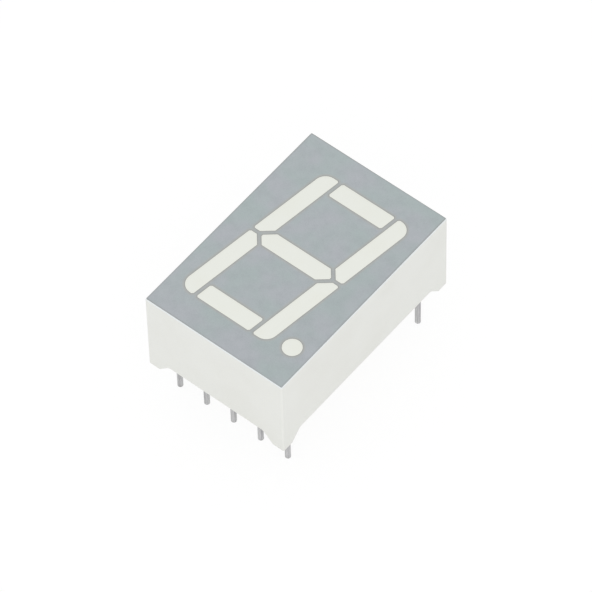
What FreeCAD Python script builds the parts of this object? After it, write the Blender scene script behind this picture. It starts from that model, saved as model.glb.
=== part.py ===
import FreeCAD, Part
import math
import os
import Sketcher
from FreeCAD import Placement, Rotation, Vector

# A single seven-segment display digit, in millimetres. The origin is the centre of the pin pattern on
# the seating plane under the four feet. X runs across the digit, Y up the digit and Z out of the face.
#
# A white moulded housing holds eight tapered wells, one for each segment and one for the decimal point.
# Each well is filled with milky resin, down to a small lamp chip on the circuit board that closes the
# wells from behind. A grey film covers the face between the segments. Ten round pins stand in the
# board, and potting resin seals them and the board into the back of the housing.

# Each driving size: its name and its value in millimetres or degrees
SIZES = (
    # housing
    ("body_width", "12.6"),
    ("body_length", "19"),
    ("body_height", "8"),
    ("side_wall", "0.6"),
    ("end_wall", "0.75"),
    ("corner_round", "0.12"),
    ("edge_break", "0.07"),
    ("cavity_round", "0.3"),
    ("foot_length", "1"),
    ("ramp_run", "0.9"),
    ("recess_height", "0.96"),
    ("recess_round", "0.5"),
    ("well_depth", "4.6"),
    ("film_thickness", "0.06"),
    # digit on the face: its margins to the sides of the body and to the pin rows, and its shift
    ("digit_side_margin", "2.19"),
    ("digit_row_margin", "0.48"),
    ("digit_shift_left", "0.105"),
    ("digit_shift_up", "0.06"),
    ("slant", "8"),
    ("stroke_width", "1.35"),
    ("bar_width", "1.44"),
    ("segment_gap", "0.33"),
    ("mitre_angle", "40"),
    ("outer_round", "0.95"),
    ("corner_cut", "0.12"),
    ("dot_diameter", "1.5"),
    ("dot_side_inset", "1.64"),
    ("dot_end_inset", "3.22"),
    # wells: the mouth at the board, and how far the taper opens past the outline at the face
    ("mouth_length", "2.4"),
    ("mouth_width", "0.8"),
    ("hopper_flare", "0.06"),
    # circuit board
    ("board_thickness", "1"),
    ("board_clearance", "0.06"),
    ("copper_thickness", "0.035"),
    ("track_width", "0.3"),
    ("die_pad", "0.5"),
    ("bond_pad", "0.36"),
    ("pin_pad", "0.84"),
    # pins: the rows stand in from the ends of the body, and their outer pins in from its sides
    ("pin_diameter", "0.45"),
    ("pin_side_inset", "1.22"),
    ("pin_row_inset", "1.88"),
    ("pin_reach", "4"),
    ("pin_tip_cut", "0.11"),
    ("pin_hole_clearance", "0.03"),
    ("solder_width", "0.76"),
    ("solder_top", "0.3"),
    ("solder_height", "0.32"),
    ("relief_width", "0.94"),
    ("relief_depth", "0.45"),
    ("relief_end", "0.52"),
    # lamp chips and their bond wires
    ("chip_side", "0.3"),
    ("chip_height", "0.2"),
    ("bond_reach", "0.8"),
    ("wire_diameter", "0.03"),
    ("wire_neck", "0.16"),
    ("wire_span", "0.2"),
    # resin behind the board
    ("potting_depth", "1.2"),
)

PINS_PER_ROW = 5
PAD_SIDES = 8
HALF_SIDE = f"(180 / {PAD_SIDES})"
WIRE_SIDES = 6
UP = Vector(0, 0, 1)

# How a corner of an outline is finished
ROUND = "round"
CUT = "cut"

doc = FreeCAD.newDocument("seven_segment_display")
sheet = doc.addObject("Spreadsheet::Sheet", "sizes")
for row, (alias, value) in enumerate(SIZES, start=1):
    sheet.set(f"A{row}", alias)
    sheet.set(f"B{row}", value)
    sheet.setAlias(f"B{row}", alias)
doc.recompute()


def size(expression):
    """The value of an expression on the sheet's cells."""
    return float(sheet.evalExpression(expression))


# Levels above the seating plane
FACE = "sizes.body_height"
HOUSING_TOP = "(sizes.body_height - sizes.film_thickness)"
BOARD_FRONT = "(sizes.body_height - sizes.well_depth)"
COPPER_TOP = "(sizes.body_height - sizes.well_depth + sizes.copper_thickness)"
BOARD_BACK = "(sizes.body_height - sizes.well_depth - sizes.board_thickness)"
CHIP_TOP = f"({COPPER_TOP} + sizes.chip_height)"

# Inside of the housing behind the wells
CAVITY_WIDTH = "(sizes.body_width - 2 * sizes.side_wall)"
CAVITY_LENGTH = "(sizes.body_length - 2 * sizes.end_wall)"

# Pin pattern: a pitch of 2.54 in rows 15.24 apart
PIN_PITCH = f"((sizes.body_width - 2 * sizes.pin_side_inset) / {PINS_PER_ROW - 1})"
PIN_ROW = "(sizes.body_length / 2 - sizes.pin_row_inset)"

# The digit: its centre and half its size, and the dot's centre
DIGIT_X = "(-sizes.digit_shift_left)"
DIGIT_Y = "sizes.digit_shift_up"
HALF_WIDTH = "(sizes.body_width / 2 - sizes.digit_side_margin)"
HALF_HEIGHT = f"({PIN_ROW} - sizes.digit_row_margin)"
DOT_X = "(sizes.body_width / 2 - sizes.dot_side_inset)"
DOT_Y = "(sizes.dot_end_inset - sizes.body_length / 2)"

# Centre lines of the strokes and bars, from the digit's own centre
STROKE_LINE = f"({HALF_WIDTH} - sizes.stroke_width / 2)"
BAR_LINE = f"({HALF_HEIGHT} - sizes.bar_width / 2)"
HALF_GAP = "(sizes.segment_gap / 2)"
STROKE_MIDDLE = f"(({HALF_HEIGHT} + {HALF_GAP}) / 2)"
LEAN = "tan(sizes.slant)"

# Half the length of each kind of segment
BAR_END = f"({HALF_WIDTH} - sizes.stroke_width - sizes.segment_gap / cos(sizes.slant))"
MIDDLE_END = f"({STROKE_LINE} - {HALF_GAP} * (sin(sizes.mitre_angle) + cos(sizes.mitre_angle)))"
CORNER_CUT = (CUT, "sizes.corner_cut")


def plane_of(body, role):
    """The origin plane of a body that has this role."""
    return next(feature for feature in body.Origin.OriginFeatures if feature.Role == role)


def new_body(name):
    """A body whose label is the name of the piece."""
    body = doc.addObject("PartDesign::Body", name)
    body.Label = name
    return body


def new_sketch(body, name, role="XY_Plane", level=None):
    """A sketch on one of the body's origin planes, moved along the plane's normal to a level."""
    sketch = body.newObject("Sketcher::SketchObject", name)
    sketch.AttachmentSupport = [(plane_of(body, role), "")]
    sketch.MapMode = "FlatFace"
    if level is not None:
        sketch.setExpression("AttachmentOffset.Base.z", level)
    return sketch


def bind(sketch, constraint, name, expression):
    """Adds a constraint and ties its value to an expression."""
    index = sketch.addConstraint(constraint)
    sketch.renameConstraint(index, name)
    sketch.setExpression(f"Constraints.{name}", expression)


def pin_point(sketch, geometry, vertex, name, x, y):
    """Holds one point of the sketch at x, y, given as expressions."""
    across, up = size(x), size(y)
    bind(sketch, Sketcher.Constraint("DistanceX", -1, 1, geometry, vertex, across), f"x_{name}", x)
    bind(sketch, Sketcher.Constraint("DistanceY", -1, 1, geometry, vertex, up), f"y_{name}", y)


def add_circle(sketch, name, x, y, radius):
    """A circle whose centre and radius are expressions."""
    centre = Vector(size(x), size(y), 0)
    ring = sketch.addGeometry(Part.Circle(centre, UP, size(radius)), False)
    bind(sketch, Sketcher.Constraint("Radius", ring, size(radius)), f"r_{name}", radius)
    pin_point(sketch, ring, 3, name, x, y)


def add_outline(sketch, corners, label="corner"):
    """A closed loop of straight sides, run anticlockwise through its corners.

    Each corner is x, y and its finish, x and y as expressions. The finish is None for a sharp corner,
    ROUND and a radius, or CUT and the length taken off both sides. The corner itself stays in the
    sketch as a construction point that both its sides pass through.
    """
    places = [Vector(size(x), size(y), 0) for x, y, _ in corners]
    count = len(places)
    starts, ends, links, marks = [], [], [], []
    for i, (_, _, finish) in enumerate(corners):
        corner = places[i]
        back = (places[i - 1] - corner).normalize()
        ahead = (places[(i + 1) % count] - corner).normalize()
        marks.append(sketch.addGeometry(Part.Point(corner), True))
        kind, amount = finish or (CUT, "0")
        half = back.getAngle(ahead) / 2
        reach = size(amount) / math.tan(half) if kind == ROUND else size(amount)
        starts.append(corner + back * reach)
        ends.append(corner + ahead * reach)
        if finish is None:
            links.append(None)
        elif kind == CUT:
            links.append(sketch.addGeometry(Part.LineSegment(starts[i], ends[i]), False))
        else:
            radius = size(amount)
            centre = corner + (back + ahead).normalize() * (radius / math.sin(half))
            angles = [math.atan2(point.y - centre.y, point.x - centre.x) for point in (starts[i], ends[i])]
            arc = Part.ArcOfCircle(Part.Circle(centre, UP, radius), *angles)
            links.append(sketch.addGeometry(arc, False))
    sides = [
        sketch.addGeometry(Part.LineSegment(ends[i], starts[(i + 1) % count]), False)
        for i in range(count)
    ]
    for i, (x, y, finish) in enumerate(corners):
        before, after, link, mark = sides[i - 1], sides[i], links[i], marks[i]
        pin_point(sketch, mark, 1, f"{label}{i}", x, y)
        if finish is None:
            sketch.addConstraint(Sketcher.Constraint("Coincident", before, 2, mark, 1))
            sketch.addConstraint(Sketcher.Constraint("Coincident", after, 1, mark, 1))
            continue
        kind, amount = finish
        joint = "Tangent" if kind == ROUND else "Coincident"
        sketch.addConstraint(Sketcher.Constraint("PointOnObject", mark, 1, before))
        sketch.addConstraint(Sketcher.Constraint("PointOnObject", mark, 1, after))
        sketch.addConstraint(Sketcher.Constraint(joint, before, 2, link, 1))
        sketch.addConstraint(Sketcher.Constraint(joint, link, 2, after, 1))
        if kind == ROUND:
            bind(sketch, Sketcher.Constraint("Radius", link, size(amount)), f"r_{label}{i}", amount)
            continue
        for vertex in (1, 2):
            taken = Sketcher.Constraint("Distance", mark, 1, link, vertex, size(amount))
            bind(sketch, taken, f"cut{vertex}_{label}{i}", amount)


def rectangle(width, length, radius):
    """The four rounded corners of a centred rectangle, anticlockwise."""
    x, y = f"{width} / 2", f"{length} / 2"
    signs = (("-", "-"), ("", "-"), ("", ""), ("-", ""))
    return [(f"{left}({x})", f"{down}({y})", (ROUND, radius)) for left, down in signs]


def add_pad(body, name, sketch, length):
    """A pad of the sketch along its normal."""
    pad = body.newObject("PartDesign::Pad", name)
    pad.Profile = sketch
    pad.setExpression("Length", length)
    return pad


def add_pocket(body, name, sketch, depth=None):
    """A pocket along the sketch's normal to a depth, or through everything on both sides."""
    pocket = body.newObject("PartDesign::Pocket", name)
    pocket.Profile = sketch
    if depth is None:
        pocket.Type = "ThroughAll"
        pocket.Midplane = True
    else:
        pocket.Reversed = True
        pocket.setExpression("Length", depth)
    return pocket


def place(piece, x="0", y="0", z="0", angle=None):
    """Ties a piece's place, and its turn about Z, to expressions."""
    if angle is not None:
        piece.Placement = Placement(Vector(), Rotation(UP, size(angle)))
        piece.setExpression("Placement.Rotation.Angle", angle)
    piece.setExpression("Placement.Base.x", x)
    piece.setExpression("Placement.Base.y", y)
    piece.setExpression("Placement.Base.z", z)


def cut(name, base, tool):
    """One solid less another."""
    piece = doc.addObject("Part::Cut", name)
    piece.Label = name
    piece.Base = base
    piece.Tool = tool
    return piece


def fuse(name, shapes):
    """Several solids taken together as one tool."""
    group = doc.addObject("Part::MultiFuse", name)
    group.Shapes = shapes
    return group


# Wells: each has its segment's outline on the face and narrows to a small mouth round its chip

def stroke_outline(side):
    """An upright segment left of the digit's centre, above it (side 1) or below it (side -1).

    Its outer corner is well rounded. At the middle of the digit it ends in a short flat and a mitre,
    each half a gap away from the lines that part it from its neighbours.
    """
    inner = f"({HALF_WIDTH} - sizes.stroke_width)"
    half = "(sizes.stroke_width / 2)"
    along, across = "cos(sizes.mitre_angle)", "sin(sizes.mitre_angle)"
    if side < 0:
        along, across = across, along
    lean = f"({side} * {LEAN})"
    # where the mitre meets the inner edge, and where it meets the flat end
    inner_end = f"(({HALF_GAP} + {across} * {half}) / ({along} - {across} * {lean}))"
    flat_end = f"({STROKE_LINE} + {HALF_GAP} * (1 - {along}) / {across})"
    corners = [
        (f"-{HALF_WIDTH} + {HALF_HEIGHT} * {lean}", HALF_HEIGHT, (ROUND, "sizes.outer_round")),
        (f"-{HALF_WIDTH} + {HALF_GAP} * {lean}", HALF_GAP, CORNER_CUT),
        (f"-{flat_end}", HALF_GAP, None),
        (f"-{inner} + {inner_end} * {lean}", inner_end, None),
        (f"-{inner} + {HALF_HEIGHT} * {lean}", HALF_HEIGHT, CORNER_CUT),
    ]
    if side > 0:
        return corners
    return [(x, f"-({y})", finish) for x, y, finish in reversed(corners)]


def bar_outline():
    """The top bar: its ends follow the slant of the strokes beside it."""
    low = f"({HALF_HEIGHT} - sizes.bar_width)"
    return [
        (f"-{BAR_END} + {low} * {LEAN}", low, CORNER_CUT),
        (f"{BAR_END} + {low} * {LEAN}", low, CORNER_CUT),
        (f"{BAR_END} + {HALF_HEIGHT} * {LEAN}", HALF_HEIGHT, CORNER_CUT),
        (f"-{BAR_END} + {HALF_HEIGHT} * {LEAN}", HALF_HEIGHT, CORNER_CUT),
    ]


def middle_outline():
    """The middle bar: each end comes to a point between two mitres at right angles to each other."""
    along, across = "cos(sizes.mitre_angle)", "sin(sizes.mitre_angle)"
    half = "(sizes.bar_width / 2)"
    rise = f"({HALF_GAP} * ({across} - {along}))"
    steep = f"({STROKE_LINE} - ({across} * {half} + {HALF_GAP}) / {along})"
    flat = f"({STROKE_LINE} - ({along} * {half} + {HALF_GAP}) / {across})"
    return [
        (f"-{MIDDLE_END}", rise, CORNER_CUT),
        (f"-{steep}", f"-{half}", None),
        (flat, f"-{half}", None),
        (MIDDLE_END, f"-{rise}", CORNER_CUT),
        (steep, half, None),
        (f"-{flat}", half, None),
    ]


# Each segment: its outline, its turn about the digit's centre, the place of its lamp from that centre
# before the slant, and the heading from its chip to its bond pad
SEGMENTS = {
    "a": (bar_outline(), "0", "0", BAR_LINE, "0"),
    "b": (stroke_outline(-1), "180", STROKE_LINE, STROKE_MIDDLE, "90 - sizes.slant"),
    "c": (stroke_outline(1), "180", STROKE_LINE, f"-{STROKE_MIDDLE}", "270 - sizes.slant"),
    "d": (bar_outline(), "180", "0", f"-{BAR_LINE}", "180"),
    "e": (stroke_outline(-1), "0", f"-{STROKE_LINE}", f"-{STROKE_MIDDLE}", "270 - sizes.slant"),
    "f": (stroke_outline(1), "0", f"-{STROKE_LINE}", STROKE_MIDDLE, "90 - sizes.slant"),
    "g": (middle_outline(), "0", "0", "0", "180"),
}


def lamp_places():
    """Each lamp's place, halfway from its chip to its bond pad, and the direction from one to the other."""
    places = {}
    for letter, (_, _, across, up, direction) in SEGMENTS.items():
        x = f"({DIGIT_X} + {across} + {up} * {LEAN})"
        y = f"({DIGIT_Y} + {up})"
        places[letter] = (x, y, direction)
    places["dot"] = (DOT_X, DOT_Y, "270 - sizes.slant")
    return places


LAMPS = lamp_places()


def hopper(letter, width, length):
    """A four-sided funnel from the mouth at the board up to a width and a length at the face."""
    funnel = doc.addObject("Part::Wedge", f"hopper_{letter}")
    spans = {
        "X": ("sizes.mouth_length", length),
        "Z": ("sizes.mouth_width", width),
    }
    for axis, (at_board, at_face) in spans.items():
        funnel.setExpression(f"{axis}min", f"-({at_board}) / 2")
        funnel.setExpression(f"{axis}max", f"{at_board} / 2")
        funnel.setExpression(f"{axis}2min", f"-({at_face}) / 2")
        funnel.setExpression(f"{axis}2max", f"{at_face} / 2")
    funnel.setExpression("Ymin", "0")
    funnel.setExpression("Ymax", f"{FACE} - {BOARD_FRONT}")
    # the funnel is drawn along Y: it is stood up, then turned to the heading of its segment
    x, y, heading = LAMPS[letter]
    at = f"create(<<vector>>; {x}; {y}; {BOARD_FRONT})"
    stand = f"create(<<rotation>>; {heading}; 0; 90)"
    funnel.setExpression("Placement", f"create(<<placement>>; {at}; {stand})")
    return funnel


def segment_well(letter):
    """The space of one segment's well: its outline on the face, drawn in to its mouth at the board."""
    outline, turn, *_ = SEGMENTS[letter]
    body = new_body(f"column_{letter}")
    sketch = new_sketch(body, f"column_{letter}_outline", level=BOARD_FRONT)
    add_outline(sketch, outline)
    add_pad(body, f"column_{letter}_pad", sketch, f"{FACE} - {BOARD_FRONT}")
    place(body, DIGIT_X, DIGIT_Y, "0", turn)
    if letter in "ad":
        width, length = "sizes.bar_width", f"2 * {BAR_END} + sizes.bar_width * {LEAN}"
    elif letter == "g":
        width, length = "sizes.bar_width", f"2 * {MIDDLE_END}"
    else:
        width, length = "sizes.stroke_width * cos(sizes.slant)", HALF_HEIGHT
    well = doc.addObject("Part::Common", f"well_{letter}")
    well.Base = body
    well.Tool = hopper(letter, f"({width} + sizes.hopper_flare)", f"({length} + sizes.hopper_flare)")
    return well


def dot_well():
    """The round well of the decimal point."""
    well = doc.addObject("Part::Cylinder", "well_dot")
    well.setExpression("Radius", "sizes.dot_diameter / 2")
    well.setExpression("Height", f"{FACE} - {BOARD_FRONT}")
    place(well, DOT_X, DOT_Y, BOARD_FRONT)
    return well


wells = {letter: segment_well(letter) for letter in SEGMENTS}
wells["dot"] = dot_well()
all_wells = fuse("all_wells", list(wells.values()))


# Housing: one white moulding, open at the back, on four corner feet

def level_edges(shape, level):
    """The names of the edges of a shape that lie flat at a level."""
    return [
        f"Edge{i}"
        for i, edge in enumerate(shape.Edges, start=1)
        if all(abs(vertex.Z - level) < 1e-6 for vertex in edge.Vertexes)
    ]


def foot_notch(body, name, role, width):
    """Takes the middle out of the two walls that face this way, and leaves a foot at each corner.

    Each end of the notch is a ramp from the foot to the recessed rim, with a soft round at its top.
    """
    foot = f"({width} / 2 - sizes.foot_length)"
    rim = f"({foot} - sizes.ramp_run)"
    height = "sizes.recess_height"
    sketch = new_sketch(body, f"{name}_profile", role)
    corners = [
        (f"-{foot}", "0", None),
        (foot, "0", None),
        (rim, height, (ROUND, "sizes.recess_round")),
        (f"-{rim}", height, (ROUND, "sizes.recess_round")),
    ]
    add_outline(sketch, corners)
    add_pocket(body, name, sketch)


def housing_blank():
    """The moulding before its wells: outer block, back cavity, solder reliefs and foot notches."""
    body = new_body("housing_blank")
    outer = new_sketch(body, "outer_outline")
    add_outline(outer, rectangle("sizes.body_width", "sizes.body_length", "sizes.corner_round"))
    block = add_pad(body, "block", outer, HOUSING_TOP)
    doc.recompute()
    rim = body.newObject("PartDesign::Chamfer", "face_edge_break")
    rim.Base = (block, level_edges(block.Shape, size(HOUSING_TOP)))
    rim.setExpression("Size", "sizes.edge_break")
    inner = new_sketch(body, "cavity_outline")
    add_outline(inner, rectangle(CAVITY_WIDTH, CAVITY_LENGTH, "sizes.cavity_round"))
    add_pocket(body, "cavity", inner, COPPER_TOP)
    # one long relief over each row of soldered pin ends
    relief = new_sketch(body, "relief_outline", level=COPPER_TOP)
    half = "sizes.relief_width / 2"
    end = f"({PINS_PER_ROW // 2} * {PIN_PITCH} + sizes.relief_end)"
    for label, row_side in (("lower", "-"), ("upper", "")):
        middle = f"{row_side}{PIN_ROW}"
        low, high = f"{middle} - {half}", f"{middle} + {half}"
        corners = [(f"-{end}", low, None), (end, low, None), (end, high, None), (f"-{end}", high, None)]
        add_outline(relief, corners, label)
    add_pocket(body, "solder_relief", relief, "sizes.relief_depth")
    foot_notch(body, "end_notch", "XZ_Plane", "sizes.body_width")
    foot_notch(body, "side_notch", "YZ_Plane", "sizes.body_length")
    return body


reflector_housing = cut("reflector_housing", housing_blank(), all_wells)


# Film: the grey layer on the face, with a window over each well

def film_blank():
    """The film before its windows, just inside the broken edge of the housing."""
    body = new_body("film_blank")
    sketch = new_sketch(body, "film_outline", level=HOUSING_TOP)
    width = "(sizes.body_width - 2 * sizes.edge_break)"
    length = "(sizes.body_length - 2 * sizes.edge_break)"
    add_outline(sketch, rectangle(width, length, "sizes.corner_round - sizes.edge_break"))
    add_pad(body, "film", sketch, "sizes.film_thickness")
    return body


face_film = cut("face_film", film_blank(), all_wells)


# Places shared by the board, the pins and the lamps

def pin_places():
    """The place of each pin as expressions: the lower row left to right, then the upper row back."""
    middle = PINS_PER_ROW // 2
    columns = [f"({column - middle} * {PIN_PITCH})" for column in range(PINS_PER_ROW)]
    lower = [(x, f"(-{PIN_ROW})") for x in columns]
    upper = [(x, PIN_ROW) for x in reversed(columns)]
    return lower + upper


def chip_place(lamp, side=-1):
    """The place of a lamp's chip, or with side 1 of its bond pad."""
    x, y, direction = LAMPS[lamp]
    step = f"{side} * sizes.bond_reach / 2"
    return f"({x} + {step} * cos({direction}))", f"({y} + {step} * sin({direction}))"


PINS = pin_places()


# Circuit board: closes the wells from behind and carries the chips and the pins

def circuit_board():
    """The board, with a clear hole for each pin."""
    body = new_body("circuit_board")
    outline = new_sketch(body, "board_outline", level=BOARD_BACK)
    width = f"({CAVITY_WIDTH} - 2 * sizes.board_clearance)"
    length = f"({CAVITY_LENGTH} - 2 * sizes.board_clearance)"
    add_outline(outline, rectangle(width, length, "sizes.cavity_round"))
    add_pad(body, "board", outline, "sizes.board_thickness")
    holes = new_sketch(body, "board_holes", level=BOARD_BACK)
    for number, (x, y) in enumerate(PINS, start=1):
        add_circle(holes, f"hole{number}", x, y, "sizes.pin_diameter / 2 + sizes.pin_hole_clearance")
    add_pocket(body, "pin_holes", holes, "sizes.board_thickness")
    return body


# Copper: a common track to all the chips, and a track from each bond pad to its own pin

def spot(expressions):
    """A point on the front of the board."""
    x, y = expressions
    return Vector(size(x), size(y), size(BOARD_FRONT))


def square_pad(centre, side):
    """A square of copper."""
    corner = centre - Vector(side / 2, side / 2, 0)
    return Part.makeBox(side, side, size("sizes.copper_thickness"), corner)


def track_run(start, end):
    """A straight run of copper with square ends, half a width past each of its points."""
    width = size("sizes.track_width")
    length = start.distanceToPoint(end) + width
    run = Part.makeBox(length, width, size("sizes.copper_thickness"), Vector(-width / 2, -width / 2, 0))
    heading = math.degrees(math.atan2(end.y - start.y, end.x - start.x))
    run.Placement = Placement(start, Rotation(UP, heading))
    return run


def track(points):
    """Runs of copper from point to point."""
    return [track_run(start, end) for start, end in zip(points, points[1:])]


def eight_sided(number, width):
    """An eight-sided plate of copper at one pin, as wide across its flats as the value given."""
    step = math.pi / PAD_SIDES
    radius = width / 2 / math.cos(step)
    corners = [
        Vector(radius * math.cos(turn), radius * math.sin(turn), 0)
        for turn in ((2 * side + 1) * step for side in range(PAD_SIDES))
    ]
    plate = Part.Face(Part.makePolygon(corners + corners[:1])).extrude(UP * size("sizes.copper_thickness"))
    plate.Placement = Placement(spot(PINS[number - 1]), Rotation())
    return plate


def copper_net(runs, lamps, bonds, pins):
    """One connected area of copper: its tracks and the pads of its chips, bonds and pins."""
    pieces = list(runs)
    pieces += [square_pad(spot(chip_place(lamp)), size("sizes.die_pad")) for lamp in lamps]
    pieces += [square_pad(spot(chip_place(lamp, 1)), size("sizes.bond_pad")) for lamp in bonds]
    pieces += [eight_sided(number, size("sizes.pin_pad")) for number in pins]
    net = pieces[0].multiFuse(pieces[1:]).removeSplitter()
    opening = size("sizes.pin_diameter + 2 * sizes.pin_hole_clearance")
    for number in pins:
        net = net.cut(eight_sided(number, opening))
    return net


def copper_tracks():
    """All the copper on the front of the board, as one group of separate areas."""
    die = {lamp: spot(chip_place(lamp)) for lamp in LAMPS}
    bond = {lamp: spot(chip_place(lamp, 1)) for lamp in LAMPS}
    pins = [spot(pin) for pin in PINS]
    # the common net runs from pin 8 down to pin 3, with a cross arm to the upper and the lower strokes
    trunk = track([pins[7], die["a"], die["g"], die["d"], pins[2]])
    arms = track([die["f"], die["b"]]) + track([die["e"], die["c"]])
    elbow = Vector(die["dot"].x, die["c"].y, die["c"].z)
    arms += track([die["c"], elbow, die["dot"]])
    nets = [copper_net(trunk + arms, LAMPS, (), (8, 3))]
    # the middle bar's track goes round the left strokes to its corner pin
    corner = Vector(pins[9].x, bond["g"].y, pins[9].z)
    nets.append(copper_net(track([bond["g"], corner, pins[9]]), (), ("g",), (10,)))
    direct = {"e": 1, "d": 2, "c": 4, "dot": 5, "b": 6, "a": 7, "f": 9}
    for lamp, number in direct.items():
        nets.append(copper_net(track([bond[lamp], pins[number - 1]]), (), (lamp,), (number,)))
    piece = doc.addObject("Part::Feature", "copper_tracks")
    piece.Label = "copper_tracks"
    piece.Shape = Part.makeCompound(nets)
    return piece


board = circuit_board()
copper = copper_tracks()


# Pins: round wire with a broken edge at the tip, pushed through the board from behind

def pin(number, x, y):
    """One pin, turned from its half profile, with its front end flush with the copper.

    Its wall is one face below the seating plane, where it enters a hole, and another above it.
    """
    body = new_body(f"pin_{number}")
    profile = new_sketch(body, f"pin_{number}_profile", "XZ_Plane")
    radius = "sizes.pin_diameter / 2"
    corners = [
        ("0", "-sizes.pin_reach", None),
        (radius, "-sizes.pin_reach", (CUT, "sizes.pin_tip_cut")),
        (radius, "0", None),
        (radius, COPPER_TOP, None),
        ("0", COPPER_TOP, None),
    ]
    add_outline(profile, corners)
    turned = body.newObject("PartDesign::Revolution", f"pin_{number}_turned")
    turned.Profile = profile
    turned.ReferenceAxis = (profile, ["V_Axis"])
    turned.Angle = 360
    turned.Refine = False
    place(body, x, y)
    return body


def solder_ring(name, width, level, x, y):
    """An eight-sided ring, as wide across its flats as the value given."""
    ring = doc.addObject("Part::RegularPolygon", name)
    ring.Polygon = PAD_SIDES
    ring.setExpression("Circumradius", f"{width} / 2 / cos({HALF_SIDE})")
    place(ring, x, y, level, HALF_SIDE)
    return ring


def solder_joint(number, x, y):
    """The mound of solder over the end of one pin, which wets its eight-sided pad."""
    crest = f"{COPPER_TOP} + sizes.solder_height"
    base = solder_ring(f"solder_base_{number}", "sizes.solder_width", COPPER_TOP, x, y)
    top = solder_ring(f"solder_top_{number}", "sizes.solder_top", crest, x, y)
    mound = doc.addObject("Part::Loft", f"solder_joint_{number}")
    mound.Sections = [base, top]
    mound.Solid = True
    mound.Ruled = True
    return mound


pins = [pin(number, x, y) for number, (x, y) in enumerate(PINS, start=1)]
joints = [solder_joint(number, x, y) for number, (x, y) in enumerate(PINS, start=1)]
solder = doc.addObject("Part::Compound", "solder_joints")
solder.Label = "solder_joints"
solder.Links = joints


# Lamps: a chip on its pad, and a fine wire from the top of the chip down to the bond pad

def lamp_chip(lamp, node):
    """The chip, a small cube."""
    chip = doc.addObject("Part::Box", node)
    chip.Label = node
    chip.setExpression("Length", "sizes.chip_side")
    chip.setExpression("Width", "sizes.chip_side")
    chip.setExpression("Height", "sizes.chip_height")
    x, y = chip_place(lamp)
    place(chip, f"{x} - sizes.chip_side / 2", f"{y} - sizes.chip_side / 2", COPPER_TOP)
    return chip


def bond_wire(lamp, node):
    """The wire: up from the chip, a short way level, and straight down to its seat on the bond pad.

    It is so fine that its round section is drawn with six flat sides.
    """
    body = new_body(f"{node}_drawn")
    path = new_sketch(body, f"{node}_path", "XZ_Plane")
    crest = f"({CHIP_TOP} + sizes.wire_neck)"
    below = f"({COPPER_TOP} - sizes.wire_diameter / 2)"
    points = [
        ("0", CHIP_TOP),
        ("0", crest),
        ("sizes.wire_span", crest),
        ("sizes.bond_reach", below),
    ]
    places = [Vector(size(x), size(y), 0) for x, y in points]
    for i, (start, end) in enumerate(zip(places, places[1:])):
        run = path.addGeometry(Part.LineSegment(start, end), False)
        pin_point(path, run, 2, f"end{i}", *points[i + 1])
        if i:
            path.addConstraint(Sketcher.Constraint("Coincident", run - 1, 2, run, 1))
        else:
            pin_point(path, run, 1, "start", *points[0])
    section = new_sketch(body, f"{node}_section", level=CHIP_TOP)
    turns = [f"{side} * 360 / {WIRE_SIDES}" for side in range(WIRE_SIDES)]
    radius = "sizes.wire_diameter / 2"
    add_outline(section, [(f"{radius} * cos({turn})", f"{radius} * sin({turn})", None) for turn in turns])
    pipe = body.newObject("PartDesign::AdditivePipe", f"{node}_pipe")
    pipe.Profile = section
    pipe.Spine = (path, [f"Edge{i}" for i in range(1, len(points))])
    pipe.Transition = "Right corner"
    x, y = chip_place(lamp)
    place(body, x, y, "0", LAMPS[lamp][2])
    return cut(node, body, copper)


chips, wires, segments = [], [], []
for lamp, well in wells.items():
    suffix = "dp" if lamp == "dot" else lamp
    chip = lamp_chip(lamp, f"led_chip_{suffix}")
    wire = bond_wire(lamp, f"bond_wire_{suffix}")
    inserts = fuse(f"inserts_{suffix}", [chip, wire, copper])
    node = "decimal_point" if lamp == "dot" else f"segment_{lamp}"
    chips.append(chip)
    wires.append(wire)
    segments.append(cut(node, well, inserts))


# Potting: the resin that seals the board and the pins into the back of the housing

def potting_resin():
    """The block of resin behind the board, cast round the pins."""
    body = new_body("potting_block")
    sketch = new_sketch(body, "potting_outline", level=f"{BOARD_BACK} - sizes.potting_depth")
    add_outline(sketch, rectangle(CAVITY_WIDTH, CAVITY_LENGTH, "sizes.cavity_round"))
    add_pad(body, "potting_fill", sketch, "sizes.potting_depth")
    return cut("potting_resin", body, fuse("all_pins", pins))


potting = potting_resin()

nodes = [reflector_housing, face_film, board, copper, solder, potting]
nodes += segments + pins + chips + wires

doc.recompute()
for item in doc.Objects:
    if "Invalid" in item.State or "Error" in item.State:
        raise RuntimeError(f"{item.Label} failed: {item.State}")
for node in nodes:
    if node.Shape.isNull() or not node.Shape.isValid():
        raise RuntimeError(f"{node.Label} has no valid shape")

os.makedirs("parts", exist_ok=True)
for node in nodes:
    node.Shape.exportStep(f"parts/{node.Label}.step")
    print(node.Label, len(node.Shape.Solids), round(node.Shape.Volume, 5))
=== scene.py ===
import math
from functools import reduce

import bpy
import numpy as np
from mathutils import Matrix, Vector


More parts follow.
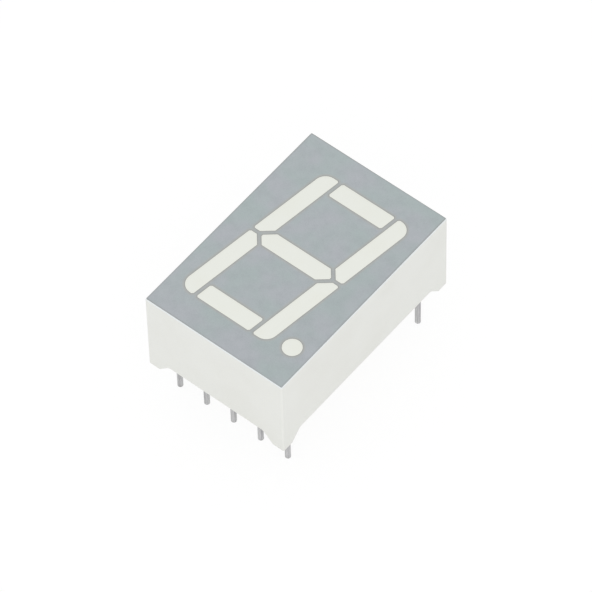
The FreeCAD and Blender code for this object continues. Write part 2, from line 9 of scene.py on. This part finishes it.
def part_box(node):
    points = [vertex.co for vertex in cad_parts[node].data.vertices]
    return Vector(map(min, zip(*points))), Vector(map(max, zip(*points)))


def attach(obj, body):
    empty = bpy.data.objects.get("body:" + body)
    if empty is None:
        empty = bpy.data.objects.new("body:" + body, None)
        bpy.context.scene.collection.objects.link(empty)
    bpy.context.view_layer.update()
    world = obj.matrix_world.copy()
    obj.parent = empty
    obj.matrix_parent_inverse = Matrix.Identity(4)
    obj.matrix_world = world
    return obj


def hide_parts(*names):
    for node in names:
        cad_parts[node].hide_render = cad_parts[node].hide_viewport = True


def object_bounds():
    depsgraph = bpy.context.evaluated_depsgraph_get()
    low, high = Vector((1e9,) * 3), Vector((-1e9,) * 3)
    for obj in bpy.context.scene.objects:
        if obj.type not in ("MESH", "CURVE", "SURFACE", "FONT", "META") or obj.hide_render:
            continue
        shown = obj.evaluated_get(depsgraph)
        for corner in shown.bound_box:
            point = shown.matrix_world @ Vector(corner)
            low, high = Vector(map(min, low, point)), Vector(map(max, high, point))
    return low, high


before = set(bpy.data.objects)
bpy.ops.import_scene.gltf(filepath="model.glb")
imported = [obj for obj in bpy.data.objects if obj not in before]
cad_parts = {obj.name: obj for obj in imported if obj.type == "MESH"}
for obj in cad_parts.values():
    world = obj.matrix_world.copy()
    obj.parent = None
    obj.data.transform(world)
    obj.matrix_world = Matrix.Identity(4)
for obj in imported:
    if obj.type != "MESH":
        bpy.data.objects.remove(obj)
cad_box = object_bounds()


# Reflector housing. One injection moulding of polycarbonate, filled with titanium white so that its wells
# throw the light of the chips forward. The mould was spark-eroded, which leaves a fine even grain on the
# walls, and the edge round the face is lightly broken. A painted highlight lightens the colour along that
# edge, and a painted shade darkens the plastic towards the bottom.

MM = 0.001


def paint(red, green, blue):
    """The linear colour that a shader takes, from a screen colour of 0 to 255 by the sRGB curve."""
    screen = np.array((red, green, blue)) / 255
    linear = np.where(screen > 0.04045, ((screen + 0.055) / 1.055) ** 2.4, screen / 12.92)
    return (*linear.tolist(), 1.0)


class Value:
    """A number that varies over a surface. Arithmetic on it adds Math nodes beside it."""

    def __init__(self, nodes, socket):
        self.nodes = nodes
        self.socket = socket

    def math(self, operation, *operands):
        return self.nodes.add("ShaderNodeMath", {"operation": operation}, dict(enumerate(operands)))

    def __add__(self, other):
        return self.math("ADD", self, other)

    def __sub__(self, other):
        return self.math("SUBTRACT", self, other)

    def __rsub__(self, other):
        return self.math("SUBTRACT", other, self)

    def __mul__(self, other):
        return self.math("MULTIPLY", self, other)

    __radd__ = __add__
    __rmul__ = __mul__

    def size(self):
        return self.math("ABSOLUTE", self)

    def root(self):
        return self.math("SQRT", self)

    def least(self, other):
        return self.math("MINIMUM", self, other)

    def most(self, other):
        return self.math("MAXIMUM", self, other)

    def between(self, low, high):
        """Runs from low to high as the value runs from 0 to 1."""
        return low + self * (high - low)

    def fade(self, start, end, full=1.0):
        """Runs smoothly from 0 where the value is at start to full where it is at end."""
        span = {"Value": self, "From Min": start, "From Max": end, "To Max": full}
        return self.nodes.add("ShaderNodeMapRange", {"interpolation_type": "SMOOTHSTEP"}, span)


class Nodes:
    """A node tree, with the one way in which its nodes are added."""

    def __init__(self, tree):
        self.tree = tree

    def connect(self, socket, value):
        """Gives a socket a constant, or links a value to it."""
        if isinstance(value, Value):
            self.tree.links.new(value.socket, socket)
        else:
            socket.default_value = value

    def add(self, kind, settings, sockets, output=0):
        """Any node: its settings are set first, then the values or links of its sockets."""
        node = self.tree.nodes.new(kind)
        for setting, value in settings.items():
            setattr(node, setting, value)
        for socket, value in sockets.items():
            self.connect(node.inputs[socket], value)
        return Value(self, node.outputs[output])


class Finish(Nodes):
    """A material. Its patterns are laid out in millimetres, on the object's own coordinates."""

    def __init__(self, name, **constants):
        self.material = bpy.data.materials.new(name)
        self.material.use_nodes = True
        super().__init__(self.material.node_tree)
        self.shader = self.tree.nodes["Principled BSDF"]
        for socket, value in constants.items():
            self.feed(socket.replace("_", " "), value)
        metres = self.add("ShaderNodeTexCoord", {}, {}, "Object")
        self.place = self.add("ShaderNodeVectorMath", {"operation": "SCALE"}, {0: metres, "Scale": 1 / MM})

    def feed(self, socket, value):
        """Gives a socket of the surface shader a constant, or links a value to it."""
        self.connect(self.shader.inputs[socket], value)

    def coordinate(self, axis):
        """The place along an axis in millimetres."""
        return self.add("ShaderNodeSeparateXYZ", {}, {0: self.place}, axis)

    def noise(self, width, detail, roughness=0.5, stretch=(1, 1, 1)):
        """Noise from 0 to 1 in blotches of about a width, and so many times longer along each axis."""
        scale = tuple(1 / (width * factor) for factor in stretch)
        drawn = self.add("ShaderNodeVectorMath", {"operation": "MULTIPLY"}, {0: self.place, 1: scale})
        sockets = {"Vector": drawn, "Scale": 1.0, "Detail": detail, "Roughness": roughness}
        return self.add("ShaderNodeTexNoise", {}, sockets)

    def blend(self, share, first, second):
        """A colour that runs from the first to the second as share runs from 0 to 1.

        A Mix node has its colours at the sockets 6 and 7, and the one between them at the output 2.
        """
        return self.add("ShaderNodeMix", {"data_type": "RGBA"}, {0: share, 6: first, 7: second}, 2)

    def relief(self, height):
        """Feeds a bump from a height in millimetres."""
        self.feed("Normal", self.add("ShaderNodeBump", {}, {"Distance": MM, "Height": height}))

    def dress(self, *nodes):
        """Puts the finish on CAD nodes."""
        for node in nodes:
            for material_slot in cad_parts[node].material_slots:
                material_slot.material = self.material


HOUSING_WHITE = paint(236, 237, 233)
HOUSING_SHADE = paint(227, 227, 221)
HOUSING_EDGE_HIGHLIGHT = paint(232, 236, 237)
HOUSING_ROUGHNESS = (0.42, 0.58)
FLOW_CLOUD = 3.5
SPARK_GRAIN = 0.07
SPARK_HEIGHT = 0.01

# A fade is the value where a mark sets in, the value where it is full, and its full share if that isn't 1.
# The painted highlight's values are heights from the top of the housing, and the painted shade's are heights
# in the frame.
FLOW_FADE = (0.35, 0.75, 0.3)
SPARK_FADE = (0.4, 0.75, 0.35)
EDGE_HIGHLIGHT_FADE = (-0.1, -0.06)
LOW_SHADE_FADE = (0.5, -0.5, 0.3)

housing = Finish("white_housing_plastic", Specular_IOR_Level=0.4)
flow = housing.noise(FLOW_CLOUD, detail=3.0)
spark = housing.noise(SPARK_GRAIN, detail=3.0, roughness=0.65)
level = housing.coordinate("Z")
# Painted highlight: the colour lightens towards the top edge of the housing.
edge_highlight = (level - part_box("reflector_housing")[1].z / MM).fade(*EDGE_HIGHLIGHT_FADE)
# Flow clouds and spark grain are the plastic's own tone; the height term is a painted shade towards the
# bottom.
shade = flow.fade(*FLOW_FADE) + spark.fade(*SPARK_FADE) + level.fade(*LOW_SHADE_FADE)
plastic = housing.blend(shade, HOUSING_WHITE, HOUSING_SHADE)
housing.feed("Base Color", housing.blend(edge_highlight, plastic, HOUSING_EDGE_HIGHLIGHT))
housing.feed("Roughness", spark.between(*HOUSING_ROUGHNESS))
housing.relief(spark * SPARK_HEIGHT)
housing.dress("reflector_housing")


# Face film. A grey ink film, laid on the face of the moulding by a squeegee and left open over each well, so
# that an unlit digit stands out pale on grey. It is matt with a fine tooth and clouds of denser ink, and a
# painted shade darkens it towards one corner. It dries thicker and browner at its edges, in a thin line
# round each segment and at the rim.

FILM_GREEN = paint(171, 182, 182)
FILM_VIOLET = paint(177, 181, 186)
FILM_DENSE_AND_SHADE = paint(148, 155, 158)
FILM_BROWNED = paint(177, 178, 175)
FILM_LINE = paint(144, 145, 143)
FILM_ROUGHNESS = (0.62, 0.82)
TINT_CLOUD = 2.6
TINT_FADE = (0.3, 0.7)
INK_CLOUD = 0.9
INK_FADE = (0.35, 0.75, 0.2)
INK_HEIGHT = 0.0015
TOOTH_GRAIN = 0.06
TOOTH_FADE = (0.35, 0.75, 0.3)
TOOTH_HEIGHT = 0.0025

# The share of painted shade at the middle of the face, and what each millimetre across and up adds to it.
CORNER_SHADE_SHARE = -0.01
CORNER_SHADE_ACROSS = 0.004
CORNER_SHADE_UP = -0.003

# The line at the rim has this share of its full colour, less so many times the share of painted shade.
RIM_FADE = (0.11, 0.0)
RIM_SHARE = 0.57
RIM_LOSS = 5
WINDOW_FADE = (0.11, 0.0, 0.65)
BROWNED_FADE = (0.26, 0.1, 0.8)
LINE_SMOOTHS = 0.12
LINE_HEIGHT = 0.005

SEGMENTS = [f"segment_{letter}" for letter in "abcdefg"]

# Corners are told apart to this many decimals of a millimetre.
CORNER_DECIMALS = 4


def outline_sides(node):
    """The sides of a CAD node's convex outline on the face, as rows of (normal x, normal y, -distance).

    The normal points outwards, and the distance is the side's own from the origin along it. The corners
    are the vertices at the node's top, taken in order round their middle.
    """
    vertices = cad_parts[node].data.vertices
    points = np.empty((len(vertices), 3), np.float32)
    vertices.foreach_get("co", points.ravel())
    points = (points / MM).round(CORNER_DECIMALS)
    corners = np.unique(points[points[:, 2] == points[:, 2].max(), :2], axis=0)
    spokes = corners - corners.mean(axis=0)
    corners = corners[np.argsort(np.arctan2(spokes[:, 1], spokes[:, 0]))]
    ahead = np.roll(corners, -1, axis=0) - corners
    normals = np.column_stack((ahead[:, 1], -ahead[:, 0])) / np.linalg.norm(ahead, axis=1)[:, None]
    return np.column_stack((normals, -np.sum(normals * corners, axis=1))).tolist()


def segment_distance(finish):
    """The distance in millimetres out from the nearest segment or the dot, below 0 inside it.

    A point's distance past a side is the dot product of (x, y, 1) and the side's row, and its distance
    from a segment is the most that it lies past any side.
    """
    x, y = finish.coordinate("X"), finish.coordinate("Y")
    point = finish.add("ShaderNodeCombineXYZ", {}, {"X": x, "Y": y, "Z": 1.0})

    def past(side):
        sockets = {0: point, 1: side}
        return finish.add("ShaderNodeVectorMath", {"operation": "DOT_PRODUCT"}, sockets, "Value")

    low, high = (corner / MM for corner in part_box("decimal_point"))
    right, up = x - (low.x + high.x) / 2, y - (low.y + high.y) / 2
    nearest = (right * right + up * up).root() - (high.x - low.x) / 2
    for segment in SEGMENTS:
        nearest = nearest.least(reduce(Value.most, map(past, outline_sides(segment))))
    return nearest


def rim_distance(finish):
    """The distance in millimetres in from the nearest edge of the face."""
    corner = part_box("face_film")[1] / MM
    return (corner.x - finish.coordinate("X").size()).least(corner.y - finish.coordinate("Y").size())


film = Finish("grey_face_ink", Specular_IOR_Level=0.3)
# Painted shade: the ink darkens across the face towards one corner.
corner_shade = CORNER_SHADE_SHARE + film.coordinate("X") * CORNER_SHADE_ACROSS + film.coordinate("Y") * CORNER_SHADE_UP
outline = segment_distance(film)
rim_line = rim_distance(film).fade(*RIM_FADE) * (RIM_SHARE - corner_shade * RIM_LOSS)
line = outline.fade(*WINDOW_FADE).most(rim_line)
tooth = film.noise(TOOTH_GRAIN, detail=2.0, roughness=0.6)
cloud = film.noise(INK_CLOUD, detail=4.0, roughness=0.6)
tint = film.noise(TINT_CLOUD, detail=2.0).fade(*TINT_FADE)
ink = film.blend(tint, FILM_GREEN, FILM_VIOLET)
ink = film.blend(outline.fade(*BROWNED_FADE), ink, FILM_BROWNED)
# The darker ink colour takes the painted shade as well as the ink's own clouds and tooth.
ink = film.blend(corner_shade + cloud.fade(*INK_FADE) + tooth.fade(*TOOTH_FADE), ink, FILM_DENSE_AND_SHADE)
film.feed("Base Color", film.blend(line, ink, FILM_LINE))
film.feed("Roughness", tooth.between(*FILM_ROUGHNESS) - line * LINE_SMOOTHS)
film.relief(tooth * TOOTH_HEIGHT + cloud * INK_HEIGHT + line * LINE_HEIGHT)
film.dress("face_film")


# Segments and decimal point. Each well is filled with epoxy that carries a fine white diffusing powder, so
# that the small chip below lights the whole of it evenly. It is poured from behind against a flat tape, and
# so its face is flush and satin, with a faint dip and a warmer tone where it meets the wall of the well.

RESIN_PALE = paint(232, 234, 227)
RESIN_WARM = paint(227, 227, 213)
RESIN_ROUGHNESS = (0.34, 0.46)
RESIN_COAT = (0.15, 0.25)
POWDER_GRAIN = 0.09
POWDER_FADE = (0.45, 0.8, 0.3)
POWDER_HEIGHT = 0.0036
POUR_CLOUD = 1.8
POUR_FADE = (0.4, 0.75, 0.15)
MARGIN_FADE = (-0.16, 0.0)
MARGIN_WARMTH = 0.2
MARGIN_DIP = 0.012

resin = Finish("diffusing_resin", Specular_IOR_Level=0.45, IOR=1.54, Coat_Roughness=0.25)
margin = segment_distance(resin).fade(*MARGIN_FADE)
powder = resin.noise(POWDER_GRAIN, detail=3.0, roughness=0.7)
pour = resin.noise(POUR_CLOUD, detail=1.0)
warmth = powder.fade(*POWDER_FADE) + pour.fade(*POUR_FADE) + margin * MARGIN_WARMTH
resin.feed("Base Color", resin.blend(warmth, RESIN_PALE, RESIN_WARM))
resin.feed("Roughness", powder.between(*RESIN_ROUGHNESS))
resin.feed("Coat Weight", pour.between(*RESIN_COAT))
resin.relief(powder * POWDER_HEIGHT - margin * MARGIN_DIP)
resin.dress(*SEGMENTS, "decimal_point")


# Circuit board. A board of woven glass cloth in epoxy, cut to the inside of the housing. It closes the wells
# from behind, and the chips are glued to its front. The threads of the cloth show as a faint check.

LAMINATE = paint(206, 203, 168)
LAMINATE_THREAD = paint(221, 219, 190)
LAMINATE_ROUGHNESS = (0.5, 0.4)
THREAD_PITCH = 0.4
THREAD_SHARE = 0.6
THREAD_HEIGHT = 0.006

# The wave texture has this many waves to each unit of its vector.
WAVES_PER_UNIT = 10 / math.pi

board = Finish("woven_glass_laminate")
wave = {"Vector": board.place, "Scale": 1 / (THREAD_PITCH * WAVES_PER_UNIT)}
warp, weft = (board.add("ShaderNodeTexWave", {"bands_direction": axis}, wave) for axis in "XY")
weave = warp.most(weft)
board.feed("Base Color", board.blend(weave * THREAD_SHARE, LAMINATE, LAMINATE_THREAD))
board.feed("Roughness", weave.between(*LAMINATE_ROUGHNESS))
board.relief(weave * THREAD_HEIGHT)
board.dress("circuit_board")


# Copper tracks. Rolled foil, etched to one common track under all the chips and a track from each bond pad
# to its own pin. It is bright where it was rolled, and browned in patches by the heat of soldering.

COPPER_BRIGHT = paint(224, 160, 122)
COPPER_BROWN = paint(160, 100, 70)
COPPER_ROUGHNESS = (0.22, 0.34)
ROLLED_LINE = 0.08
ROLLED_HEIGHT = 0.002
TARNISH_PATCH = 0.8
TARNISH_FADE = (0.45, 0.8)
TARNISH_SHARE = 0.7
TARNISH_ROUGHENS = 0.25

copper = Finish("etched_copper", Metallic=1.0)
rolled = copper.noise(ROLLED_LINE, detail=3.0, stretch=(20, 1, 1))
tarnish = copper.noise(TARNISH_PATCH, detail=4.0).fade(*TARNISH_FADE)
copper.feed("Base Color", copper.blend(tarnish * TARNISH_SHARE, COPPER_BRIGHT, COPPER_BROWN))
copper.feed("Roughness", rolled.between(*COPPER_ROUGHNESS) + tarnish * TARNISH_ROUGHENS)
copper.relief(rolled * ROLLED_HEIGHT)
copper.dress("copper_tracks")


# Solder joints. A mound of tin solder wets the pad round the end of each pin. It froze with a slightly
# grained, cloudy skin over bright metal.

SOLDER_BRIGHT = paint(214, 216, 219)
SOLDER_DULL = paint(168, 171, 176)
SOLDER_ROUGHNESS = (0.18, 0.48)
SKIN_GRAIN = 0.12
SKIN_FADE = (0.4, 0.75)
SKIN_HEIGHT = 0.006

solder = Finish("frozen_solder", Metallic=1.0)
skin = solder.noise(SKIN_GRAIN, detail=4.0, roughness=0.6)
solder.feed("Base Color", solder.blend(skin.fade(*SKIN_FADE), SOLDER_BRIGHT, SOLDER_DULL))
solder.feed("Roughness", skin.between(*SOLDER_ROUGHNESS))
solder.relief(skin * SKIN_HEIGHT)
solder.dress("solder_joints")


# Lamp chips. Each is a cube of semiconductor, diced by a fine saw and glued to the common track. The saw
# leaves its sides frosted in level lines.

CHIP_BODY = paint(96, 84, 80)
CHIP_FROST = paint(138, 126, 120)
CHIP_ROUGHNESS = (0.25, 0.5)
SAW_LINE = 0.025
SAW_HEIGHT = 0.001
METAL_FADE = (0.4, 0.8, 0.4)
LAMPS = [*"abcdefg", "dp"]

chip = Finish("diced_semiconductor", Specular_IOR_Level=0.7)
sawn = chip.noise(SAW_LINE, detail=2.0, stretch=(25, 25, 1))
chip.feed("Base Color", chip.blend(sawn, CHIP_BODY, CHIP_FROST))
chip.feed("Metallic", sawn.fade(*METAL_FADE))
chip.feed("Roughness", sawn.between(*CHIP_ROUGHNESS))
chip.relief(sawn * SAW_HEIGHT)
chip.dress(*(f"led_chip_{lamp}" for lamp in LAMPS))


# Bond wires. Gold wire a few hundredths of a millimetre thick, welded to the top of the chip and to its own
# pad on the board. The die that drew it leaves it bright, with faint marks.

GOLD_BRIGHT = paint(242, 205, 120)
GOLD_DEEP = paint(214, 170, 84)
GOLD_ROUGHNESS = (0.12, 0.24)
DIE_MARK = 0.02
DIE_HEIGHT = 0.0005

gold = Finish("drawn_gold", Metallic=1.0)
mark = gold.noise(DIE_MARK, detail=2.0)
gold.feed("Base Color", gold.blend(mark, GOLD_BRIGHT, GOLD_DEEP))
gold.feed("Roughness", mark.between(*GOLD_ROUGHNESS))
gold.relief(mark * DIE_HEIGHT)
gold.dress(*(f"bond_wire_{lamp}" for lamp in LAMPS))


# Pins. Round steel wire with a matt tin plating, cut to length and tumbled, so that the tip is rounded. Each
# is pushed through the board, soldered in front and potted behind. Drawing leaves fine lines along the
# wire, and the tin goes a little dull between them, and grey where the tip is rubbed. A painted shade
# darkens the tin above the tip, towards the body.

TIN_BRIGHT = paint(222, 222, 223)
TIN_DULL_AND_SHADE = paint(170, 170, 172)
TIN_RUBBED = paint(112, 106, 100)
TIN_ROUGHNESS = (0.3, 0.5)
DRAWN_LINE = 0.06
DRAWN_FADE = (0.3, 0.7, 0.75)
DRAWN_HEIGHT = 0.004
PATCH_WIDTH = 0.5
PATCH_SHARE = 0.2
PATCH_FADE = (0.35, 0.7)
PATCH_ROUGHENS = 0.08

# These two follow the height above the tip: the first is a painted shade towards the body, the second the
# rubbed tip.
BODY_SHADE_FADE = (0.4, 1.4, 0.15)
RUBBED_FADE = (0.8, 0.0, 0.15)

PINS = [f"pin_{number}" for number in range(1, 11)]
PIN_SIDES = 48
TIP_ROUND = 0.09 * MM
TIP_RINGS = 8
SHARP_TURN = math.radians(35)


def new_piece(name, points, faces, finish, slot, node):
    """A mesh piece of the root body that stands for a CAD node, smooth but for its sharp edges."""
    mesh = bpy.data.meshes.new(name)
    mesh.from_pydata(points.tolist(), [], faces)
    mesh.materials.append(finish.material)
    mesh.shade_smooth()
    mesh.set_sharp_from_angle(angle=SHARP_TURN)
    piece = bpy.data.objects.new(name, mesh)
    bpy.context.scene.collection.objects.link(piece)
    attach(piece, "root")
    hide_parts(node)


def turned_solid(radii, heights, centre):
    """The points and faces of a closed solid turned about an upright axis.

    A ring holds the points centre + radius * (cos u, sin u), for each radius and height of a profile
    that runs upwards. A fan of triangles round one point on the axis closes each end.
    """
    turn = np.arange(PIN_SIDES) * 2 * math.pi / PIN_SIDES
    x = centre.x + np.outer(radii, np.cos(turn))
    y = centre.y + np.outer(radii, np.sin(turn))
    z = np.outer(heights, np.ones(PIN_SIDES))
    ends = [(centre.x, centre.y, height) for height in heights[[0, -1]]]
    points = np.concatenate((np.stack((x, y, z), axis=2).reshape(-1, 3), ends))
    rings = np.arange(radii.size * PIN_SIDES).reshape(-1, PIN_SIDES)
    beside = np.roll(rings, -1, axis=1)
    walls = np.stack((rings[:-1], beside[:-1], beside[1:], rings[1:]), axis=2).reshape(-1, 4)
    foot, head = np.full((2, PIN_SIDES), [[rings.size], [rings.size + 1]])
    floor = np.column_stack((foot, beside[0], rings[0]))
    lid = np.column_stack((head, rings[-1], beside[-1]))
    return points, walls.tolist() + floor.tolist() + lid.tolist()


def pin_solid(node):
    """The points and faces of a pin, whose profile turns round the tip in a quarter circle of tip round.

    As u runs from 0 to a quarter turn, the radius is short of full by tip round * (1 - sin u), and the
    height above the tip is tip round * (1 - cos u). From there the wire runs straight to its top.
    """
    low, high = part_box(node)
    turn = np.linspace(0, math.pi / 2, TIP_RINGS)
    radii = (high.x - low.x) / 2 - TIP_ROUND * np.append(1 - np.sin(turn), 0)
    heights = np.append(low.z + TIP_ROUND * (1 - np.cos(turn)), high.z)
    return turned_solid(radii, heights, (low + high) / 2)


tin = Finish("matt_tin_plating", Metallic=1.0)
drawn = tin.noise(DRAWN_LINE, detail=3.0, roughness=0.6, stretch=(1, 1, 60))
patch = tin.noise(PATCH_WIDTH, detail=3.0)
height = tin.coordinate("Z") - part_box("pin_1")[0].z / MM
# Painted shade: the tin darkens upwards from the tip towards the body, as well as between the drawn lines.
dull_and_shade = drawn.fade(*DRAWN_FADE) + patch * PATCH_SHARE + height.fade(*BODY_SHADE_FADE)
rubbed = height.fade(*RUBBED_FADE) * patch.fade(*PATCH_FADE)
tin.feed("Base Color", tin.blend(rubbed, tin.blend(dull_and_shade, TIN_BRIGHT, TIN_DULL_AND_SHADE), TIN_RUBBED))
tin.feed("Roughness", drawn.between(*TIN_ROUGHNESS) + patch * PATCH_ROUGHENS)
tin.relief(drawn * DRAWN_HEIGHT)
for pin in PINS:
    new_piece(f"{pin}_wire", *pin_solid(pin), tin, "tinned_pin", pin)


# Potting. Clear epoxy is poured into the back of the housing over the board, and sets glossy and slightly
# milky. While liquid it creeps up the walls and the pins, so it meets each of them in a small curved fillet.

POTTING_PALE = paint(224, 226, 213)
POTTING_DEEP = paint(212, 213, 195)
POTTING_ROUGHNESS = (0.12, 0.22)
SWIRL_CLOUD = 2.5
SWIRL_FADE = (0.3, 0.75, 0.7)
SWIRL_HEIGHT = 0.01
BUBBLE_WIDTH = 0.25
BUBBLE_FADE = (0.62, 0.72)
BUBBLE_SHARE = 0.15
BUBBLE_ROUGHENS = 0.1
BUBBLE_HEIGHT = 0.003

CAVITY_CORNER = 0.3 * MM
CREEP_HEIGHT = 0.18 * MM
CREEP_REACH = 0.28 * MM
WALL_CROWDING = 0.65
POTTING_COLUMNS = 96
POTTING_ROWS = 140


def potting_solid():
    """The points and faces of the potting, a closed slab.

    Its front and back are grids over the cavity's rounded rectangle: u and v run from -1 to 1, partly as
    a sine so that rows crowd at the walls, and what lies past a corner's arc is pulled in onto it. The
    back stands out by creep height * exp(-gap / creep reach), the gap being to the nearest wall or pin.
    """
    low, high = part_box("potting_resin")
    half = np.array((high.x, high.y))
    inner = half - CAVITY_CORNER
    steps = (np.linspace(-1, 1, count) for count in (POTTING_COLUMNS, POTTING_ROWS))
    grid = np.stack(np.meshgrid(*steps), axis=2)
    flat = half * (grid * (1 - WALL_CROWDING) + np.sin(grid * math.pi / 2) * WALL_CROWDING)
    past = np.abs(flat) - inner
    reach = np.linalg.norm(np.maximum(past, 0), axis=2, keepdims=True)
    past = np.where(past > 0, past * CAVITY_CORNER / np.maximum(reach, CAVITY_CORNER), past)
    flat = np.sign(flat) * (inner + past)
    gap = CAVITY_CORNER - np.linalg.norm(np.maximum(past, 0), axis=2) - np.minimum(past.max(axis=2), 0)
    for pin in PINS:
        pin_low, pin_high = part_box(pin)
        centre = np.array((pin_low + pin_high)[:2]) / 2
        gap = np.minimum(gap, np.linalg.norm(flat - centre, axis=2) - (pin_high.x - pin_low.x) / 2)
    back = low.z - CREEP_HEIGHT * np.exp(-np.maximum(gap, 0) / CREEP_REACH)
    front = np.full(back.shape, high.z)
    points = np.concatenate([np.dstack((flat, side)).reshape(-1, 3) for side in (back, front)])
    index = np.arange(back.size).reshape(back.shape)
    corners = (index[:-1, :-1], index[1:, :-1], index[1:, 1:], index[:-1, 1:])
    quads = np.stack(corners, axis=2).reshape(-1, 4)
    border = np.concatenate((index[0, :-1], index[:-1, -1], index[-1, :0:-1], index[:0:-1, 0]))
    after = np.roll(border, -1)
    walls = np.column_stack((border, after, after + back.size, border + back.size))
    return points, quads.tolist() + (quads[:, ::-1] + back.size).tolist() + walls.tolist()


potting = Finish("milky_potting_epoxy", Specular_IOR_Level=0.5, IOR=1.54)
swirl = potting.noise(SWIRL_CLOUD, detail=4.0, roughness=0.55)
bubble = potting.noise(BUBBLE_WIDTH, detail=1.0).fade(*BUBBLE_FADE)
milk = swirl.fade(*SWIRL_FADE) + bubble * BUBBLE_SHARE
potting.feed("Base Color", potting.blend(milk, POTTING_PALE, POTTING_DEEP))
potting.feed("Roughness", swirl.between(*POTTING_ROUGHNESS) + bubble * BUBBLE_ROUGHENS)
potting.relief(swirl * SWIRL_HEIGHT + bubble * BUBBLE_HEIGHT)
new_piece("potting_fill", *potting_solid(), potting, "potting_resin", "potting_resin")


# Table. A plain pale floor under the tips of the pins. What a picture or a gloss sees of it is white, with
# the object's shadow on it.

FLOOR_PALE = paint(235, 235, 234)
WHITE = (1.0, 1.0, 1.0, 1.0)
FLOOR_HALF = 2.0
GLOW_STRENGTH = 1.01
SHADOW_SEEN = 0.1
SHADOW_IN_GLOSS = 0.5


def backdrop_share(nodes, straight=1.0, in_gloss=1.0):
    """How much of the white background a ray takes.

    A ray that sees it straight or through something clear takes one share, and a ray that sees it in a
    gloss takes the other. Rays that light the object take none.
    """
    kinds = ("Camera", "Transmission", "Glossy")
    seen, clear, gloss = (nodes.add("ShaderNodeLightPath", {}, {}, f"Is {kind} Ray") for kind in kinds)
    return (seen.most(clear) * straight).most(gloss * in_gloss)


floor_mesh = bpy.data.meshes.new("floor")
square = ((-1, -1), (1, -1), (1, 1), (-1, 1))
corners = [(x * FLOOR_HALF, y * FLOOR_HALF, cad_box[0].z) for x, y in square]
floor_mesh.from_pydata(corners, [], [(0, 1, 2, 3)])
floor = bpy.data.objects.new("floor", floor_mesh)
bpy.context.scene.collection.objects.link(floor)

table = Finish("pale_table", Roughness=0.9, Specular_IOR_Level=0.0)
table.feed("Base Color", table.blend(backdrop_share(table), FLOOR_PALE, WHITE))
glow = table.add("ShaderNodeEmission", {}, {"Color": WHITE, "Strength": GLOW_STRENGTH})
share = backdrop_share(table, 1 - SHADOW_SEEN, 1 - SHADOW_IN_GLOSS)
matt = Value(table, table.shader.outputs["BSDF"])
mixed = table.add("ShaderNodeMixShader", {}, {0: share, 1: matt, 2: glow})
table.connect(table.tree.nodes["Material Output"].inputs["Surface"], mixed)
floor_mesh.materials.append(table.material)


# Studio light. An even white tent stands all round, with one soft lamp beside the camera, at a level where a
# colour comes out as it is.

TENT_LEVEL = 0.86
LAMP_SIDE = 0.48
LAMP_POWER = 1.54
LAMP_PLACE = Vector((0.4, -0.48, 0.6))

world = bpy.data.worlds.new("white_tent")
bpy.context.scene.world = world
world.use_nodes = True
tent = Nodes(world.node_tree)
background = world.node_tree.nodes["Background"]
tent.connect(background.inputs["Color"], WHITE)
tent.connect(background.inputs["Strength"], backdrop_share(tent).between(TENT_LEVEL, 1.0))

lamp_data = bpy.data.lights.new("soft_lamp", "AREA")
lamp_data.size = LAMP_SIDE
lamp_data.energy = LAMP_POWER
lamp = bpy.data.objects.new("soft_lamp", lamp_data)
lamp.location = LAMP_PLACE
lamp.rotation_euler = (-LAMP_PLACE).to_track_quat("-Z", "Y").to_euler()
bpy.context.scene.collection.objects.link(lamp)


# Camera. It stands high over the corner by the decimal point, far off with a long lens, as the photo was
# taken. Its place and turn were fitted to the corners of the box and the tips of the pins in the photo.

PHOTO_SIDE = 592
FOCAL_PIXELS = 5514
SENSOR = 36.0
NEAR_LIMIT = 0.01
CAMERA_PLACE = Vector((0.14988, -0.17666, 0.3295))
LOOK = Vector((-0.37487, 0.44132, -0.8153)).normalized()
PICTURE_DOWN = Vector((0.50507, -0.64024, -0.57879))

camera_data = bpy.data.cameras.new("camera")
camera_data.sensor_width = SENSOR
camera_data.lens = FOCAL_PIXELS / PHOTO_SIDE * SENSOR
camera_data.clip_start = NEAR_LIMIT
camera = bpy.data.objects.new("camera", camera_data)
right = LOOK.cross(-PICTURE_DOWN).normalized()
turn = Matrix((right, right.cross(LOOK), -LOOK)).transposed()
camera.matrix_world = Matrix.Translation(CAMERA_PLACE) @ turn.to_4x4()
bpy.context.scene.collection.objects.link(camera)
bpy.context.scene.camera = camera
bpy.context.scene.view_settings.view_transform = "Standard"
